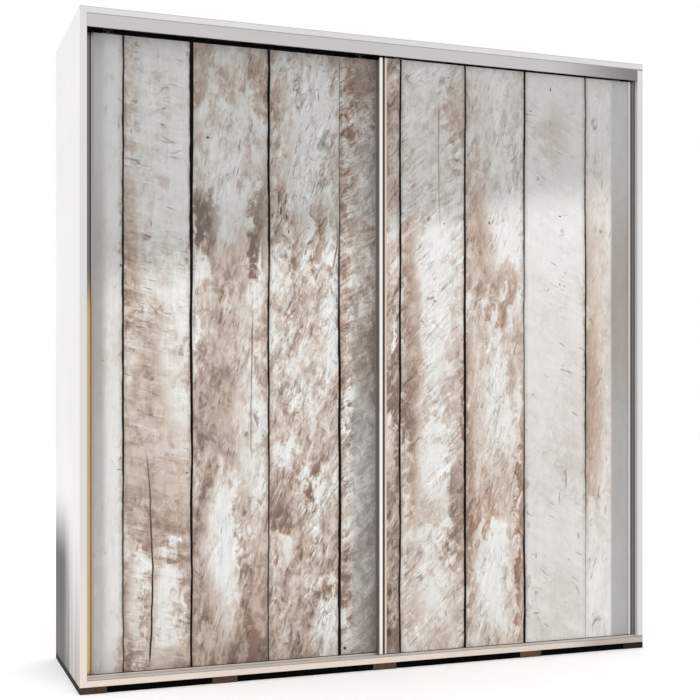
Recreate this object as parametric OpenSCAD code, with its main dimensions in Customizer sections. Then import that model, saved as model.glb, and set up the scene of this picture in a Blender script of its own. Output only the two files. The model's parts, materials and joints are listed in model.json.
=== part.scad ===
// Sliding door wardrobe: a laminated board carcass on five bearers, two printed board doors
// in aluminium handle stiles, grooved floor rollers on a ridged bottom track and guide wheels
// in a double top track. Millimetres, X to the right, Y to the back, Z up; the origin is at
// the middle of the footprint, on the floor.

/* [Overall size] */
// Width over the side panels
overall_w = 2050; // [1700:10:2400]
// Depth from the front edges to the back joint strip
overall_d = 580; // [560:5:650]
// Height from the floor to the top face
overall_h = 2150; // [1950:10:2400]

/* [Carcass boards] */
// Thickness of the top and bottom panels
cap_t = 22; // [18:1:28]
// Thickness of the two side panels
side_t = 22; // [18:1:25]
// Thickness of the middle partition
partition_t = 18; // [18:1:22]
// Thickness of every shelf
shelf_t = 18; // [16:1:22]
// Thickness of the two back boards
back_t = 3; // [2.5:0.5:4]
// Height of the bearers, which is the gap under the bottom panel
bearer_h = 22; // [16:1:40]
// Width of one bearer
bearer_w = 84; // [60:2:100]

/* [Interior] */
// Height of the underside of the hat shelf above the floor
hat_shelf_z = 1760; // [1600:10:1780]
// Distance from the hat shelf down to the hanging rail's centre
rail_drop = 60; // [50:5:80]
// Outer radius of the hanging rail
rail_r = 12.5; // [10:0.5:14]

/* [Doors] */
// Width of a handle stile
stile_w = 26; // [22:1:28]
// Width by which the closed doors lap over each other
overlap_w = 26; // [22:1:40]
// Thickness of the door's core board
board_t = 16; // [15:1:18]
// Thickness of the printed facing sheet
facing_t = 1; // [0.6:0.1:1.2]
// Gap from a closed door to the side panel
side_gap = 3; // [2.5:0.5:4]
// Height of the door's lower edge above the bottom panel
door_lift = 5; // [5:0.5:8]
// Drop from the top panel's underside to the door's upper edge
door_drop = 43; // [43:1:48]

/* [Tracks] */
// Height of the aluminium fascia that hides the top track
fascia_h = 40; // [36:1:44]
// Height of the top track's legs
top_track_h = 30; // [28:1:32]
// Wall thickness of both aluminium profiles at the top
track_wall = 2; // [1.5:0.5:2]
// Height of the two ridges that the rollers run on
ridge_h = 4; // [3.5:0.5:4]
// Width of a ridge
ridge_w = 3; // [2.5:0.5:3]

/* [Rollers] */
// Rolling radius of a floor roller, at the root of its groove
roller_r = 10; // [9:0.5:10]
// Radius of a floor roller over its flanges
flange_r = 13; // [12:0.5:13]
// Radius of a top guide wheel
guide_r = 17; // [15:0.5:17.5]
// Distance from a door's edge to its roller and guide centres
roller_inset = 75; // [70:5:120]

/* [Hidden] */
$fn = 48;

// Planes of the carcass
front_y = -overall_d / 2;
strip_t = 1;
back_face_y = overall_d / 2 - strip_t;
carcass_back_y = back_face_y - back_t;
half_w = overall_w / 2;
half_inner = half_w - side_t;
floor_z = bearer_h + cap_t;
ceiling_z = overall_h - cap_t;
side_mid_x = half_w - side_t / 2;

// Depths behind the front plane: the door planes, the top track and the interior
door_pitch = 38;
front_door_depth = 16;
channel_w = door_pitch - track_wall;
track_front_y = front_y + front_door_depth;
track_back_y = track_front_y + 2 * door_pitch + track_wall;
interior_y = track_back_y + 4;
channel_y = [for (i = [0, 1]) track_front_y + track_wall + i * door_pitch];
track_half = half_inner - 0.5;

// Door size and the places of the left and right door; the left one runs in the rear track
door_w = (2 * half_inner + overlap_w - 2 * side_gap) / 2;
door_bottom_z = floor_z + door_lift;
door_top_z = ceiling_z - door_drop;
door_x = [-half_inner + side_gap, half_inner - side_gap - door_w];
door_y = [track_front_y + door_pitch, track_front_y];
lip_w = 6;
lip_t = 3;
slot_w = stile_w - lip_w;
board_y = [lip_t + facing_t, lip_t + facing_t + board_t];
stile_d = board_y[1] + 4;
plate_t = 2;
roller_x = [roller_inset, door_w - roller_inset];

// Floor rollers: the wheel's mid plane is behind the board
roller_mid_y = board_y[1] + 7;
roller_t = 7;
groove_w = ridge_w + 1;
axle_r = 3;
run_gap = 0.05;
track_base_t = 1.5;
ridge_top_z = floor_z + track_base_t + ridge_h;
roller_z = ridge_top_z + roller_r + 0.2;
ridge_y = [for (y = door_y) y + roller_mid_y];

// Top guides: the wheel's axis is in the middle of the track's channel
guide_y = track_wall + channel_w / 2;
guide_t = 8;
guide_z = ceiling_z - 27;
tab_z = door_top_z + 2;

// Carcass fasteners, as places along the depth
side_screw_y = [-240, 0, 240];
side_dowel_y = [-120, 120];
partition_screw_y = [-140, 230];
partition_dowel_y = [45];
screw_head_r = 5;
screw_core_r = 2.5;
dowel_r = 4;
drill_gap = 0.1;

// Shelves: four equal shelves on the right, the hat shelf on the left
shelf_step = (ceiling_z - floor_z - 4 * shelf_t) / 5 + shelf_t;
function shelf_z(i) = floor_z + i * shelf_step - shelf_t;
pin_y = [interior_y + 50, carcass_back_y - 50];
pin_r = 2.5;
pin_deep = 10;
pin_drop = 3.5;
left_bay = [-half_inner, -partition_t / 2];
right_bay = [partition_t / 2, half_inner];
rail_z = hat_shelf_z - rail_drop;
rail_y = (interior_y + carcass_back_y) / 2;
socket_r = 22;
socket_wall = 2.5;
flange_t = 2.5;
socket_screw_y = (socket_r + rail_r + socket_wall) / 2;
fascia_screw_y = front_y + 10.5;
bearer_x = [-half_w + bearer_w / 2, -0.273 * overall_w, 0, 0.273 * overall_w,
    half_w - bearer_w / 2];

// A box given by its low and high limits along each axis
module span(x, y, z)
    translate([x[0], y[0], z[0]])
        cube([x[1] - x[0], y[1] - y[0], z[1] - z[0]]);

// A cylinder along Y that starts at the origin
module rod_y(r, h) rotate([-90, 0, 0]) cylinder(r = r, h = h);

// Copies at every carcass screw and every dowel, as seen from above
module at_screws() {
    for (s = [-1, 1], y = side_screw_y) translate([s * side_mid_x, y, 0]) children();
    for (y = partition_screw_y) translate([0, y, 0]) children();
}
module at_dowels() {
    for (s = [-1, 1], y = side_dowel_y) translate([s * side_mid_x, y, 0]) children();
    for (y = partition_dowel_y) translate([0, y, 0]) children();
}

// Confirmat screw standing head up, with its sunk cap on top, from the panel face at z = 0
cap_sink = 1.2;
head_t = 3.5;
module confirmat(grow = 0) {
    core_len = cap_t + 28;
    translate([0, 0, -cap_sink - head_t - grow])
        cylinder(r = screw_head_r + grow, h = head_t + grow);
    translate([0, 0, -cap_t]) cylinder(r = 3.5 + grow, h = cap_t - cap_sink - 1);
    translate([0, 0, -core_len - 5 * grow])
        cylinder(r = screw_core_r + grow, h = 29 + 5 * grow);
}
module screw_cap(grow = 0)
    translate([0, 0, -cap_sink]) cylinder(r = 6 + grow, h = cap_sink + (grow > 0 ? 1 : 0));
module dowel(grow = 0)
    translate([0, 0, -12 - 5 * grow]) cylinder(r = dowel_r - drill_gap + grow,
        h = 28 + 10 * grow);

// Round headed wood screw with its head's underside at z = 0, and the hole for its shank
shank_r = 1.6;
shank_len = 13;
module wood_screw() {
    translate([0, 0, -shank_len]) cylinder(r = shank_r, h = shank_len + 0.5);
    cylinder(r = 2.6, h = 1.2);
}
module screw_hole()
    translate([0, 0, -shank_len - 0.5]) cylinder(r = shank_r + drill_gap, h = shank_len + 1.5);

// Copies at every wood screw of the tracks, the fascia and the rail sockets
module at_fittings() {
    for (i = [-2:2]) translate([i * 0.2 * overall_w, 0, 0]) {
        for (y = [for (c = channel_y) c + channel_w / 2, fascia_screw_y])
            translate([0, y, ceiling_z - track_wall]) mirror([0, 0, 1]) children();
        for (y = ridge_y) translate([40, y - 14, floor_z + track_base_t]) children();
    }
    for (end = [[left_bay[0], 1], [left_bay[1], -1]], s = [-1, 1])
        translate([end[0] + end[1] * flange_t, rail_y + s * socket_screw_y, rail_z])
            rotate([0, end[1] * 90, 0]) children();
}

// The drilling shared by the four panels that meet at the top, and its mirror at the bottom
module top_drilling() {
    at_screws() translate([0, 0, overall_h]) {
        confirmat(drill_gap);
        screw_cap(drill_gap);
    }
    at_dowels() translate([0, 0, ceiling_z]) mirror([0, 0, 1]) dowel(drill_gap);
}
module bottom_drilling() {
    at_screws() translate([0, 0, bearer_h]) mirror([0, 0, 1]) {
        confirmat(drill_gap);
        screw_cap(drill_gap);
    }
    at_dowels() translate([0, 0, floor_z]) dowel(drill_gap);
}

module top_panel() color("whitesmoke") difference() {
    span([-half_w, half_w], [front_y, carcass_back_y], [ceiling_z, overall_h]);
    top_drilling();
    at_fittings() screw_hole();
}

module bottom_panel() color("whitesmoke") difference() {
    span([-half_w, half_w], [front_y, carcass_back_y], [bearer_h, floor_z]);
    bottom_drilling();
    at_fittings() screw_hole();
}

// Blind holes for the pins of one shelf in the wall whose face is at x; dir points into the bay
module pin_holes(x, dir, z)
    for (y = pin_y)
        translate([x - dir * pin_deep, y, z - pin_drop]) rotate([0, dir * 90, 0])
            cylinder(r = pin_r, h = pin_deep + 1);

module left_side_panel() color("whitesmoke") difference() {
    span([-half_w, -half_inner], [front_y, carcass_back_y], [floor_z, ceiling_z]);
    top_drilling();
    bottom_drilling();
    pin_holes(left_bay[0], 1, hat_shelf_z);
    at_fittings() screw_hole();
}

module right_side_panel() color("whitesmoke") difference() {
    span([half_inner, half_w], [front_y, carcass_back_y], [floor_z, ceiling_z]);
    top_drilling();
    bottom_drilling();
    for (i = [1:4]) pin_holes(right_bay[1], -1, shelf_z(i));
}

module partition() color("whitesmoke") difference() {
    span([left_bay[1], right_bay[0]], [interior_y, carcass_back_y], [floor_z, ceiling_z]);
    top_drilling();
    bottom_drilling();
    pin_holes(left_bay[1], -1, hat_shelf_z);
    for (i = [1:4]) pin_holes(right_bay[0], 1, shelf_z(i));
    at_fittings() screw_hole();
}

// One of the two hardboard sheets nailed over the back edges; side is -1 or 1
module back_board(side) color("gainsboro")
    scale([side, 1, 1])
        span([strip_t, half_w - 2], [carcass_back_y, back_face_y], [bearer_h + 2, overall_h - 2]);

// T strip that covers the joint of the two back boards
module back_joint_strip() color("white") {
    z = [bearer_h + 2, overall_h - 2];
    span([-12, 12], [back_face_y, back_face_y + strip_t], z);
    span([-strip_t, strip_t], [carcass_back_y, back_face_y + strip_t], z);
}

// Angle profile in front of the top track, with a stiffening lip along its lower edge
module track_fascia() color("silver") difference() {
    x = [-track_half, track_half];
    z = [ceiling_z - fascia_h, ceiling_z];
    union() {
        span(x, [front_y, front_y + track_wall], z);
        span(x, [front_y, track_front_y - 1], [ceiling_z - track_wall, ceiling_z]);
        span(x, [front_y, front_y + 6], [z[0], z[0] + track_wall]);
    }
    at_fittings() screw_hole();
}

// Double channel, open downwards, that steers the guide wheels
module top_track() color("silver") difference() {
    z = [ceiling_z - top_track_h, ceiling_z];
    span([-track_half, track_half], [track_front_y, track_back_y], z);
    for (y = channel_y)
        span([-half_w, half_w], [y, y + channel_w], [z[0] - 1, z[1] - track_wall]);
    at_fittings() screw_hole();
}

// Flat double rail with one rounded ridge under each door's rollers
module bottom_track() color("silver") difference() {
    x = [-track_half, track_half];
    lip = [floor_z, floor_z + track_base_t + 2];
    union() {
        span(x, [track_front_y - 2, track_back_y], [floor_z, floor_z + track_base_t]);
        span(x, [track_front_y - 2, track_front_y - 0.5], lip);
        span(x, [track_back_y - 1.5, track_back_y], lip);
        for (y = ridge_y) {
            span(x, [y - ridge_w / 2, y + ridge_w / 2], [floor_z, ridge_top_z - ridge_w / 2]);
            translate([x[0], y, ridge_top_z - ridge_w / 2]) rotate([0, 90, 0])
                cylinder(r = ridge_w / 2, h = x[1] - x[0]);
        }
    }
    at_fittings() screw_hole();
}

// Rubber faced blocks in the ends of both channels, which the guide wheels run up to
module track_stops() color("dimgray") {
    wheel_edge = half_inner - side_gap - roller_inset + guide_r;
    for (s = [-1, 1], y = channel_y) scale([s, 1, 1])
        span([wheel_edge + 0.5, track_half], [y + 0.5, y + channel_w - 0.5],
            [guide_z - 2, ceiling_z - track_wall]);
}

// A loose shelf across one bay, with its underside at z
module shelf(bay, z) color("whitesmoke")
    span([bay[0] + 1, bay[1] - 1], [interior_y + 2, carcass_back_y - 2], [z, z + shelf_t]);

module hat_shelf() shelf(left_bay, hat_shelf_z);

module hanging_rail() color("silver")
    translate([left_bay[0] + 3, rail_y, rail_z]) rotate([0, 90, 0]) difference() {
        length = left_bay[1] - left_bay[0] - 6;
        cylinder(r = rail_r, h = length);
        translate([0, 0, -1]) cylinder(r = rail_r - 1, h = length + 2);
    }

// Flanged cups that hold the rail's two ends
module rail_sockets() color("silver") difference() {
    for (end = [[left_bay[0], 1], [left_bay[1], -1]])
        translate([end[0], rail_y, rail_z]) rotate([0, end[1] * 90, 0]) difference() {
            union() {
                cylinder(r = socket_r, h = flange_t);
                cylinder(r = rail_r + socket_wall, h = 14);
            }
            translate([0, 0, flange_t]) cylinder(r = rail_r + run_gap, h = 12);
        }
    at_fittings() screw_hole();
}

// Push-in shelf support: a peg in the wall and a flat spoon under the shelf
module shelf_pin(x, dir, y, z) {
    translate([x - dir * (pin_deep - 0.5), y, z - pin_drop]) rotate([0, dir * 90, 0])
        cylinder(r = pin_r - run_gap, h = pin_deep + 8);
    translate([x, y, z]) scale([dir, 1, 1]) span([0, 10], [-6, 6], [-2, 0]);
}
module bay_pins(bay, z)
    for (y = pin_y) {
        shelf_pin(bay[0], 1, y, z);
        shelf_pin(bay[1], -1, y, z);
    }
module shelf_pins() color("lightgray") {
    bay_pins(left_bay, hat_shelf_z);
    for (i = [1:4]) bay_pins(right_bay, shelf_z(i));
}

module confirmat_screws() color("gray") {
    at_screws() translate([0, 0, overall_h]) confirmat();
    at_screws() translate([0, 0, bearer_h]) mirror([0, 0, 1]) confirmat();
}

module screw_caps() color("white")
    at_screws() translate([0, 0, overall_h]) screw_cap();

module wood_dowels() color("burlywood") {
    at_dowels() translate([0, 0, ceiling_z]) mirror([0, 0, 1]) dowel();
    at_dowels() translate([0, 0, floor_z]) dowel();
}

module fitting_screws() color("gray") at_fittings() wood_screw();

// Front to back bearer under the bottom panel; i counts from the left
module bearer(i) color("saddlebrown")
    span([bearer_x[i] - bearer_w / 2, bearer_x[i] + bearer_w / 2],
        [front_y, carcass_back_y], [0, bearer_h]);

// Black strips that close the gaps between the bearers, just behind the front plane
module plinth_strips() color("black")
    for (i = [0:3])
        span([bearer_x[i] + bearer_w / 2 + 0.5, bearer_x[i + 1] - bearer_w / 2 - 0.5],
            [front_y + 2, front_y + 14], [1, bearer_h]);

// Everything on a door is drawn from its lower left front corner; door 0 is the left one
module on_door(door) translate([door_x[door], door_y[door], 0]) children();
door_z = [door_bottom_z, door_top_z];

// Copies at every wood screw behind a door: four on a roller bracket, two on a guide bracket
// and five down each stile
module at_door_screws() {
    seat_y = board_y[1] + plate_t;
    stile_screw_x = slot_w + lip_w / 2;
    first_z = door_bottom_z + 150;
    pitch = (door_top_z - door_bottom_z - 300) / 4;
    for (x = roller_x, sx = [-1, 1]) {
        for (z = [door_bottom_z + 13, door_bottom_z + 57])
            translate([x + sx * 22, seat_y, z]) rotate([-90, 0, 0]) children();
        translate([x + sx * 12, seat_y, door_top_z - 20]) rotate([-90, 0, 0]) children();
    }
    for (x = [stile_screw_x, door_w - stile_screw_x], i = [0:4])
        translate([x, seat_y, first_z + i * pitch]) rotate([-90, 0, 0]) children();
}

module door_board(door) color("whitesmoke") on_door(door) difference() {
    span([slot_w + 0.2, door_w - slot_w - 0.2], board_y, door_z);
    at_door_screws() screw_hole();
}

module door_facing(door) color("tan") on_door(door)
    span([slot_w + 0.2, door_w - slot_w - 0.2], [lip_t, board_y[0]], door_z);

// Handle stile: a broad outer rim with a rounded corner, a round bottomed groove, a slot
// that takes the board's edge between two lips, and a hollow chamber behind the groove
corner_r = 2;
groove_r = 3;
groove_d = 9;
wall_t = 1.5;
rim_w = slot_w - 2 * groove_r - 2;
module stile_profile() difference() {
    h = door_top_z - door_bottom_z;
    cut_z = [door_z[0] - 1, door_z[1] + 1];
    union() {
        translate([corner_r, corner_r, door_bottom_z]) cylinder(r = corner_r, h = h);
        span([0, slot_w], [corner_r, stile_d], door_z);
        span([corner_r, stile_w], [0, lip_t], door_z);
        span([slot_w - 1, stile_w], [board_y[1], board_y[1] + plate_t], door_z);
    }
    translate([rim_w + groove_r, groove_d - groove_r, cut_z[0]])
        cylinder(r = groove_r, h = h + 2);
    span([rim_w, rim_w + 2 * groove_r], [-1, groove_d - groove_r], cut_z);
    span([wall_t, slot_w - wall_t], [groove_d + wall_t, stile_d - wall_t], cut_z);
}
module door_stile(door, right_edge) color("silver") on_door(door) difference() {
    if (right_edge) translate([door_w, 0, 0]) mirror([1, 0, 0]) stile_profile();
    else stile_profile();
    at_door_screws() screw_hole();
}

// Pile seals on both edges of a door, and behind the stile that laps over the other door
module door_brushes(door, laps) color("dimgray") on_door(door) {
    z = [door_bottom_z + 8, door_top_z - 8];
    pile_y = [corner_r + 0.5, corner_r + 10];
    span([-side_gap + 0.3, 0], pile_y, z);
    span([door_w, door_w + side_gap - 0.3], pile_y, z);
    if (laps) span([3, 11], [stile_d, door_pitch - 1], z);
}

// Steel plate with a fork that holds a floor roller and the lug of its height screw
cheek_y = [roller_mid_y + 4.5, roller_mid_y + 6];
lug_z = roller_z + 38;
height_screw_r = 2.5;
module roller_bracket(door, i) color("lightsteelblue") on_door(door) difference() {
    back = board_y[1];
    translate([roller_x[i], 0, 0]) {
        span([-30, 30], [back, back + plate_t], [door_bottom_z + 4, door_bottom_z + 66]);
        span([-15, 15], [back, cheek_y[1]], [roller_z + 17, roller_z + 20]);
        span([-15, 15], cheek_y, [roller_z - 8, roller_z + 20]);
        span([-9, 9], [back, cheek_y[1] - 1], [lug_z, lug_z + 3]);
    }
    translate([roller_x[i], back - 1, roller_z]) rod_y(axle_r + run_gap, 20);
    translate([roller_x[i], roller_mid_y, roller_z + 10])
        cylinder(r = height_screw_r + run_gap, h = 40);
    at_door_screws() screw_hole();
}

// Steel plate screwed behind the board's top edge, with a flat tab that carries the guide pin
module guide_bracket(door, i) color("lightsteelblue") on_door(door) difference() {
    translate([roller_x[i], 0, 0]) {
        span([-20, 20], [board_y[1], board_y[1] + plate_t], [door_top_z - 45, tab_z]);
        span([-20, 20], [guide_y - 11, guide_y + 11], [tab_z, tab_z + plate_t]);
    }
    translate([roller_x[i], guide_y, tab_z - 1])
        cylinder(r = axle_r + run_gap, h = plate_t + 2);
    at_door_screws() screw_hole();
}

// Headed axles of the two floor rollers and collared pins of the two guide wheels
collar_r = 4.5;
module door_axles(door) color("gray") on_door(door)
    for (x = roller_x) {
        axle_y = [board_y[1] + 0.2, cheek_y[1]];
        collar_z = [tab_z + plate_t, guide_z - 0.3, guide_z + guide_t + 0.3];
        translate([x, axle_y[0], roller_z]) rod_y(axle_r, axle_y[1] - axle_y[0] + 0.5);
        translate([x, axle_y[1], roller_z]) rod_y(collar_r, 1);
        translate([x, guide_y, tab_z]) cylinder(r = axle_r, h = collar_z[2] - tab_z + 1);
        translate([x, guide_y, collar_z[0]]) cylinder(r = collar_r, h = collar_z[1] - collar_z[0]);
        translate([x, guide_y, collar_z[2]]) cylinder(r = collar_r, h = 2.5);
    }

// The door's wood screws, and the two hexagon headed screws that set its height
module door_screws(door) color("gray") on_door(door) {
    at_door_screws() wood_screw();
    for (x = roller_x) {
        translate([x, roller_mid_y, roller_z + 15])
            cylinder(r = height_screw_r, h = lug_z - roller_z - 12);
        translate([x, roller_mid_y, lug_z + 3]) cylinder(r = 4, h = 4, $fn = 6);
    }
}

// Grooved nylon roller, turning on its axle along Y
module floor_roller(door, i) color("white") on_door(door)
    translate([roller_x[i], roller_mid_y, roller_z]) rotate([90, 0, 0])
        rotate_extrude() polygon([
            [axle_r + run_gap, -roller_t / 2], [flange_r, -roller_t / 2],
            [flange_r, -groove_w / 2 - 0.5], [roller_r, -groove_w / 2],
            [roller_r, groove_w / 2], [flange_r, groove_w / 2 + 0.5],
            [flange_r, roller_t / 2], [axle_r + run_gap, roller_t / 2]
        ]);

// Plain nylon wheel, turning on its upright pin in the top channel
module guide_wheel(door, i) color("white") on_door(door)
    translate([roller_x[i], guide_y, guide_z]) difference() {
        cylinder(r = guide_r, h = guide_t);
        translate([0, 0, -1]) cylinder(r = axle_r + run_gap, h = guide_t + 2);
    }

top_panel();
bottom_panel();
left_side_panel();
right_side_panel();
partition();
back_board(-1);  // left_back_board
back_board(1);  // right_back_board
back_joint_strip();
track_fascia();
top_track();
bottom_track();
track_stops();
hat_shelf();
shelf(right_bay, shelf_z(1));  // shelf_1
shelf(right_bay, shelf_z(2));  // shelf_2
shelf(right_bay, shelf_z(3));  // shelf_3
shelf(right_bay, shelf_z(4));  // shelf_4
hanging_rail();
rail_sockets();
shelf_pins();
confirmat_screws();
screw_caps();
wood_dowels();
fitting_screws();
bearer(0);  // bearer_1
bearer(1);  // bearer_2
bearer(2);  // bearer_3
bearer(3);  // bearer_4
bearer(4);  // bearer_5
plinth_strips();
door_board(0);  // left_door_board
door_facing(0);  // left_door_facing
door_stile(0, false);  // left_door_outer_stile
door_stile(0, true);  // left_door_inner_stile
door_brushes(0, false);  // left_door_brushes
roller_bracket(0, 0);  // left_door_roller_bracket_a
roller_bracket(0, 1);  // left_door_roller_bracket_b
guide_bracket(0, 0);  // left_door_guide_bracket_a
guide_bracket(0, 1);  // left_door_guide_bracket_b
door_axles(0);  // left_door_axles
door_screws(0);  // left_door_screws
floor_roller(0, 0);  // left_door_roller_a
floor_roller(0, 1);  // left_door_roller_b
guide_wheel(0, 0);  // left_door_guide_wheel_a
guide_wheel(0, 1);  // left_door_guide_wheel_b
door_board(1);  // right_door_board
door_facing(1);  // right_door_facing
door_stile(1, false);  // right_door_inner_stile
door_stile(1, true);  // right_door_outer_stile
door_brushes(1, true);  // right_door_brushes
roller_bracket(1, 0);  // right_door_roller_bracket_a
roller_bracket(1, 1);  // right_door_roller_bracket_b
guide_bracket(1, 0);  // right_door_guide_bracket_a
guide_bracket(1, 1);  // right_door_guide_bracket_b
door_axles(1);  // right_door_axles
door_screws(1);  // right_door_screws
floor_roller(1, 0);  // right_door_roller_a
floor_roller(1, 1);  // right_door_roller_b
guide_wheel(1, 0);  // right_door_guide_wheel_a
guide_wheel(1, 1);  // right_door_guide_wheel_b
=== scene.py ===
import json
import math

import bpy
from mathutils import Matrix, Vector


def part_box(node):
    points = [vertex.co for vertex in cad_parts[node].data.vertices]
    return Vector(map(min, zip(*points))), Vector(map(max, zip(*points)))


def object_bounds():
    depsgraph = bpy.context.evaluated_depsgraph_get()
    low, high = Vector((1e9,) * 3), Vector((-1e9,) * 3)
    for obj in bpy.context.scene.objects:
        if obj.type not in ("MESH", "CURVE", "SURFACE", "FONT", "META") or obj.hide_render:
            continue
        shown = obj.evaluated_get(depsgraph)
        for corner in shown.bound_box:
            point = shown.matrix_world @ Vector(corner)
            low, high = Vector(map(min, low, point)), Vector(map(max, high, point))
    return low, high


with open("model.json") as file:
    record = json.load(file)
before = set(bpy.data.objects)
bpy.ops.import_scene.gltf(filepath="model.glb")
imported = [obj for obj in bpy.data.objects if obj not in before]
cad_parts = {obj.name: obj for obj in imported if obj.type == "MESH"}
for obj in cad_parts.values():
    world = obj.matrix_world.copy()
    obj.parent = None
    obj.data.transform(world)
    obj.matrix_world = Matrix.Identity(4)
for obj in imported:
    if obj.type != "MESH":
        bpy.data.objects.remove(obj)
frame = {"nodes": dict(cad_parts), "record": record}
cad_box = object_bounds()
nodes = frame["nodes"]
scene = bpy.context.scene


# ---------------------------------------------------------------- node graph helpers

def srgb(red, green, blue):
    """A display colour from 0 to 255 as a linear RGBA tuple."""
    def linear(value):
        value /= 255
        return value / 12.92 if value <= 0.04045 else ((value + 0.055) / 1.055) ** 2.4
    return (linear(red), linear(green), linear(blue), 1)


class Value:
    """A socket that takes arithmetic, so that a graph reads like a formula."""

    def __init__(self, graph, socket):
        self.graph = graph
        self.socket = socket

    def __add__(self, other):
        return self.graph.math("ADD", self, other)

    def __radd__(self, other):
        return self.graph.math("ADD", other, self)

    def __sub__(self, other):
        return self.graph.math("SUBTRACT", self, other)

    def __rsub__(self, other):
        return self.graph.math("SUBTRACT", other, self)

    def __mul__(self, other):
        return self.graph.math("MULTIPLY", self, other)

    def __truediv__(self, other):
        return self.graph.math("DIVIDE", self, other)

    def abs(self):
        return self.graph.math("ABSOLUTE", self)

    def over(self, limit):
        return self.graph.math("GREATER_THAN", self, limit)

    def clamped(self):
        return self.step(0, 1, "LINEAR")

    def step(self, low, high, kind="SMOOTHSTEP"):
        """From 0 at low to 1 at high, clamped outside them."""
        node = self.graph.node("ShaderNodeMapRange", interpolation_type=kind)
        self.graph.put(node.inputs["Value"], self)
        self.graph.put(node.inputs["From Min"], low)
        self.graph.put(node.inputs["From Max"], high)
        return Value(self.graph, node.outputs["Result"])


class Graph:
    """A material with a Principled shader, and short names for the nodes that feed it."""

    def __init__(self, name, **sockets):
        self.material = bpy.data.materials.new(name)
        self.material.use_nodes = True
        self.tree = self.material.node_tree
        self.shader = self.tree.nodes["Principled BSDF"]
        for key, value in sockets.items():
            self.shader.inputs[key.replace("_", " ")].default_value = value
        self.place = self.node("ShaderNodeTexCoord")
        split = self.node("ShaderNodeSeparateXYZ")
        self.tree.links.new(self.place.outputs["Object"], split.inputs[0])
        self.x, self.y, self.z = (Value(self, s) for s in split.outputs)

    def node(self, kind, **settings):
        node = self.tree.nodes.new(kind)
        for key, value in settings.items():
            setattr(node, key, value)
        return node

    def put(self, socket, value):
        if isinstance(value, Value):
            self.tree.links.new(value.socket, socket)
        else:
            socket.default_value = value

    def math(self, operation, *values):
        node = self.node("ShaderNodeMath", operation=operation)
        for socket, value in zip(node.inputs, values):
            self.put(socket, value)
        return Value(self, node.outputs[0])

    def least(self, a, b):
        return self.math("MINIMUM", a, b)

    def most(self, a, b):
        return self.math("MAXIMUM", a, b)

    def point(self, x, y=0.0, z=0.0):
        node = self.node("ShaderNodeCombineXYZ")
        for socket, value in zip(node.inputs, (x, y, z)):
            self.put(socket, value)
        return Value(self, node.outputs[0])

    def facing(self, axis):
        """The surface normal's part along an axis of the frame, 0, 1 or 2."""
        node = self.node("ShaderNodeSeparateXYZ")
        self.tree.links.new(self.place.outputs["Normal"], node.inputs[0])
        return Value(self, node.outputs[axis])

    def noise(self, point, scale=1.0, detail=3.0, roughness=0.55, distortion=0.0):
        node = self.node("ShaderNodeTexNoise")
        self.put(node.inputs["Vector"], point)
        node.inputs["Scale"].default_value = scale
        node.inputs["Detail"].default_value = detail
        node.inputs["Roughness"].default_value = roughness
        node.inputs["Distortion"].default_value = distortion
        return Value(self, node.outputs["Fac"])

    def cells(self, point, scale=1.0):
        """Distance to the nearest scattered point, and a random number for that point."""
        node = self.node("ShaderNodeTexVoronoi")
        self.put(node.inputs["Vector"], point)
        node.inputs["Scale"].default_value = scale
        split = self.node("ShaderNodeSeparateColor")
        self.tree.links.new(node.outputs["Color"], split.inputs[0])
        return Value(self, node.outputs["Distance"]), Value(self, split.outputs[0])

    def cell_edges(self, point):
        """How far a point is from the edge of its Voronoi cell."""
        node = self.node("ShaderNodeTexVoronoi", feature="DISTANCE_TO_EDGE")
        self.put(node.inputs["Vector"], point)
        node.inputs["Scale"].default_value = 1.0
        return Value(self, node.outputs["Distance"])

    def ramp(self, value, stops, kind="LINEAR"):
        """A colour for a value from 0 to 1; stops are (position, colour)."""
        node = self.node("ShaderNodeValToRGB")
        node.color_ramp.interpolation = kind
        elements = node.color_ramp.elements
        while len(elements) < len(stops):
            elements.new(1.0)
        for element, (position, colour) in zip(elements, stops):
            element.position = position
            element.color = colour
        self.put(node.inputs[0], value)
        return Value(self, node.outputs[0])

    def channels(self, colour):
        node = self.node("ShaderNodeSeparateColor")
        self.put(node.inputs[0], colour)
        return [Value(self, s) for s in node.outputs]

    def parts(self, vector):
        node = self.node("ShaderNodeSeparateXYZ")
        self.put(node.inputs[0], vector)
        return [Value(self, s) for s in node.outputs]

    def vector(self, operation, *values):
        node = self.node("ShaderNodeVectorMath", operation=operation)
        for socket, value in zip(node.inputs, values):
            self.put(socket, value)
        return Value(self, node.outputs["Value" if operation == "DOT_PRODUCT" else "Vector"])

    def mix(self, factor, a, b, blend="MIX"):
        node = self.node("ShaderNodeMix", data_type="RGBA", blend_type=blend)
        self.put(node.inputs[0], factor)
        self.put(node.inputs[6], a)
        self.put(node.inputs[7], b)
        return Value(self, node.outputs[2])

    def shade(self, colour, factor):
        """The colour times a grey factor, which may pass 1."""
        node = self.node("ShaderNodeVectorMath", operation="SCALE")
        self.put(node.inputs[0], colour)
        self.put(node.inputs["Scale"], factor)
        return Value(self, node.outputs[0])

    def set(self, name, value):
        self.put(self.shader.inputs[name], value)

    def bump(self, height, strength, distance):
        node = self.node("ShaderNodeBump")
        node.inputs["Strength"].default_value = strength
        node.inputs["Distance"].default_value = distance
        self.put(node.inputs["Height"], height)
        self.tree.links.new(node.outputs[0], self.shader.inputs["Normal"])


# ---------------------------------------------------------------- places in the frame

low, high = cad_box
left_face = low.x
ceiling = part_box("top_panel")[0].z
floor_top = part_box("bottom_panel")[1].z
inner_half = -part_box("left_side_panel")[1].x
front = low.y

# the shade up inside the top track's channels starts at their mouth and is soon full
channel_mouth = ceiling - 0.036
channel_inside = ceiling - 0.026


# ---------------------------------------------------------------- the printed planks

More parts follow.
